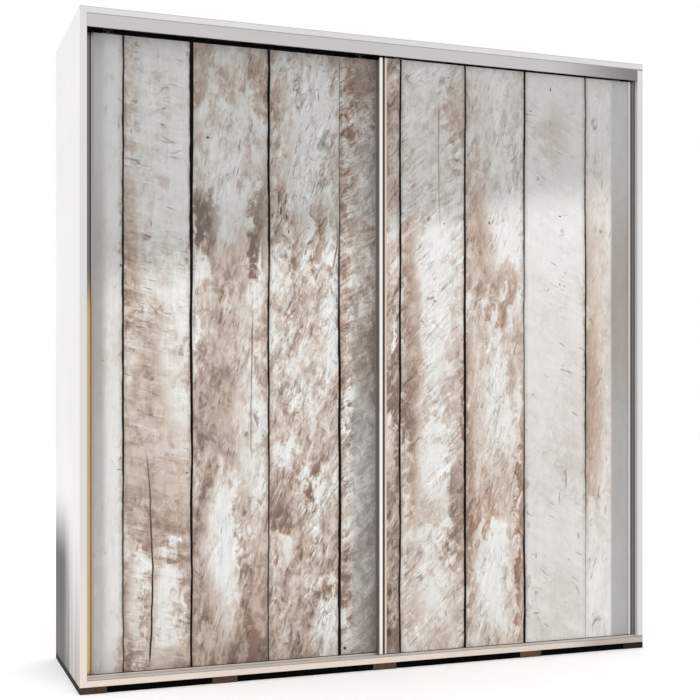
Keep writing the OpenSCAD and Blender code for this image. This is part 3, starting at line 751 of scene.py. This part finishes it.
def handle_stile(node, outer_side, rim, groove, lip, edge_tone, upper_rim=None, upper_lip=None,
                 lip_starts=(0.0145, 0.0155), metallic=1.0):
    """Handle stile: its rim, finger groove, inner lip and inner edge each have their own tone: the
    metal's colour with painted highlight, shade and reflection.

    outer_side is -1 where the rim is the stile's left edge and 1 where it is the right one.
    The upper tones, painted darker reflections where given, take over above the heights where the
    painted gold reflection ends.
    """
    g = aluminium(node, 2)
    base = Value(g, g.shader.inputs["Base Color"].links[0].from_socket)
    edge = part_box(node)[0 if outer_side < 0 else 1].x
    inward = (g.x - edge) * -outer_side
    in_groove = (g.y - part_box(node)[0].y).step(*STILE_GROOVE)
    g.shader.inputs["Metallic"].default_value = metallic
    on_lip = inward.step(*lip_starts)
    tone = g.mix(in_groove, g.mix(on_lip, rim, lip), groove)
    tone = g.mix(inward.step(*STILE_INNER_EDGE), tone, edge_tone)
    if upper_rim:
        tone = g.mix(g.z.step(*GOLD_REFLECTION_ENDS), tone, g.mix(on_lip, upper_rim, upper_lip))
    g.set("Base Color", g.mix(1.0, g.shade(base, 1.36), tone, "MULTIPLY"))
    return g.material


MATERIALS = {
    "white_laminate": laminate("white_laminate", srgb(214, 213, 211), srgb(230, 216, 203)),
    "white_hardboard": hardboard(),
    "white_plastic": moulded("white_plastic", srgb(238, 238, 236), 0.45),
    "anodised_aluminium": aluminium("anodised_aluminium", 0).material,
    "dark_rubber": moulded("dark_rubber", srgb(42, 42, 42), 0.75),
    "satin_steel": plain_metal("satin_steel", (0.72, 0.72, 0.73, 1), 0.2, 60),
    # the bearers' cut ends are brown; these stops paint light and shade on them, brightest three
    # quarters of the way across and darkest at the right end
    "stained_bearer": timber("stained_bearer", srgb(14, 10, 9), srgb(7, 5, 5), 1, [
        (0.00, srgb(74, 56, 45)), (0.50, srgb(90, 70, 58)),
        (0.75, srgb(106, 78, 62)), (0.95, srgb(38, 32, 28))]),
    # the near-black colour of the strips between the bearers is a painted shadow, standing for the
    # shade under the wardrobe
    "black_strip": moulded("black_strip", srgb(4, 3, 3), 0.85),
    "beech": timber("beech", srgb(214, 176, 132), srgb(184, 142, 100), 2),
    "printed_planks": printed_planks(),
    "pile_seal": pile("pile_seal"),
    "zinc_steel": plain_metal("zinc_steel", (0.66, 0.67, 0.70, 1), 0.28, 240),
    "white_nylon": moulded("white_nylon", srgb(236, 236, 230), 0.38),
}
SPECIAL = {
    "track_fascia": fascia_metal(),
    "top_track": track_metal(),
    "bottom_track": aluminium("floor_track_aluminium", 0, tone=(0.78, 0.72, 0.66, 1)).material,
    # painted warm reflection and highlight on the left stile low down, painted darker grey reflection
    # above
    "left_door_outer_stile": handle_stile(
        "left_door_outer_stile", -1, rim=srgb(205, 176, 134), groove=srgb(238, 210, 166),
        lip=srgb(138, 112, 84), edge_tone=srgb(170, 164, 156),
        upper_rim=srgb(124, 120, 116), upper_lip=srgb(166, 163, 159)),
    # painted shade on the left door's inner stile, behind the right door's stile
    "left_door_inner_stile": handle_stile(
        "left_door_inner_stile", 1, rim=srgb(150, 145, 139), groove=srgb(172, 167, 160),
        lip=srgb(168, 164, 158), edge_tone=srgb(172, 169, 164), metallic=0.4),
    # painted highlight on the right door's inner rim, and painted shade in its groove
    "right_door_inner_stile": handle_stile(
        "right_door_inner_stile", -1, rim=srgb(244, 243, 242), groove=srgb(170, 150, 136),
        lip=srgb(150, 126, 110), edge_tone=srgb(224, 209, 196), lip_starts=(0.0100, 0.0115)),
    # painted shade on the right door's outer rim
    "right_door_outer_stile": handle_stile(
        "right_door_outer_stile", 1, rim=srgb(134, 130, 126), groove=srgb(186, 181, 176),
        lip=srgb(196, 193, 190), edge_tone=srgb(214, 212, 210)),
}
for part in frame["record"]["subparts"]:
    material = SPECIAL.get(part["node"], MATERIALS[part["material_slot"]])
    piece = nodes[part["node"]]
    piece.data.materials.clear()
    piece.data.materials.append(material)


# ---------------------------------------------------------------- floor, light and camera

def stage_floor():
    """A white floor that glows faintly, so that it stays white under the wardrobe."""
    mesh = bpy.data.meshes.new("studio_floor")
    reach = 14.0
    corners = [(-reach, -reach, 0), (reach, -reach, 0), (reach, reach, 0), (-reach, reach, 0)]
    mesh.from_pydata(corners, [], [(0, 1, 2, 3)])
    sheet = bpy.data.objects.new("studio_floor", mesh)
    scene.collection.objects.link(sheet)
    g = Graph("studio_floor", Roughness=0.85, Emission_Color=(1, 1, 1, 1), Emission_Strength=0.16)
    cloud = g.noise(g.point(g.x, g.y, g.z), 3, 2.0)
    g.set("Base Color", g.mix(cloud, srgb(250, 250, 250), srgb(255, 255, 255)))
    mesh.materials.append(g.material)


def soft_box(name, place, target, size, power):
    """A white area light, size in metres and power in watts."""
    data = bpy.data.lights.new(name, "AREA")
    data.shape = "RECTANGLE"
    data.size, data.size_y = size
    data.energy = power
    lamp = bpy.data.objects.new(name, data)
    lamp.location = place
    aim = Vector(target) - Vector(place)
    lamp.rotation_euler = aim.to_track_quat("-Z", "Y").to_euler()
    scene.collection.objects.link(lamp)


stage_floor()
world = bpy.data.worlds.new("studio")
world.use_nodes = True
world.node_tree.nodes["Background"].inputs["Color"].default_value = (1, 1, 1, 1)
world.node_tree.nodes["Background"].inputs["Strength"].default_value = 1.0
scene.world = world
soft_box("key", (-4.5, -4.5, 3.4), (0, 0, 1.0), (2.5, 2.5), 15)
soft_box("side", (-5.5, 0.6, 1.6), (-1, 0, 1.1), (2.5, 2.5), 42)
scene.view_settings.view_transform = "Standard"

# The camera stands level in front of the left corner and looks a little to the right
camera_left_of_face = 0.572
camera_before_front = 3.943
camera_height = 0.958
camera_turn = -20.45
camera_data = bpy.data.cameras.new("camera")
camera_data.lens = 64.3
camera_data.shift_y = 0.054
camera = bpy.data.objects.new("camera", camera_data)
camera.location = (left_face - camera_left_of_face, front - camera_before_front, camera_height)
camera.rotation_euler = (math.radians(90), 0, math.radians(camera_turn))
scene.collection.objects.link(camera)
scene.camera = camera
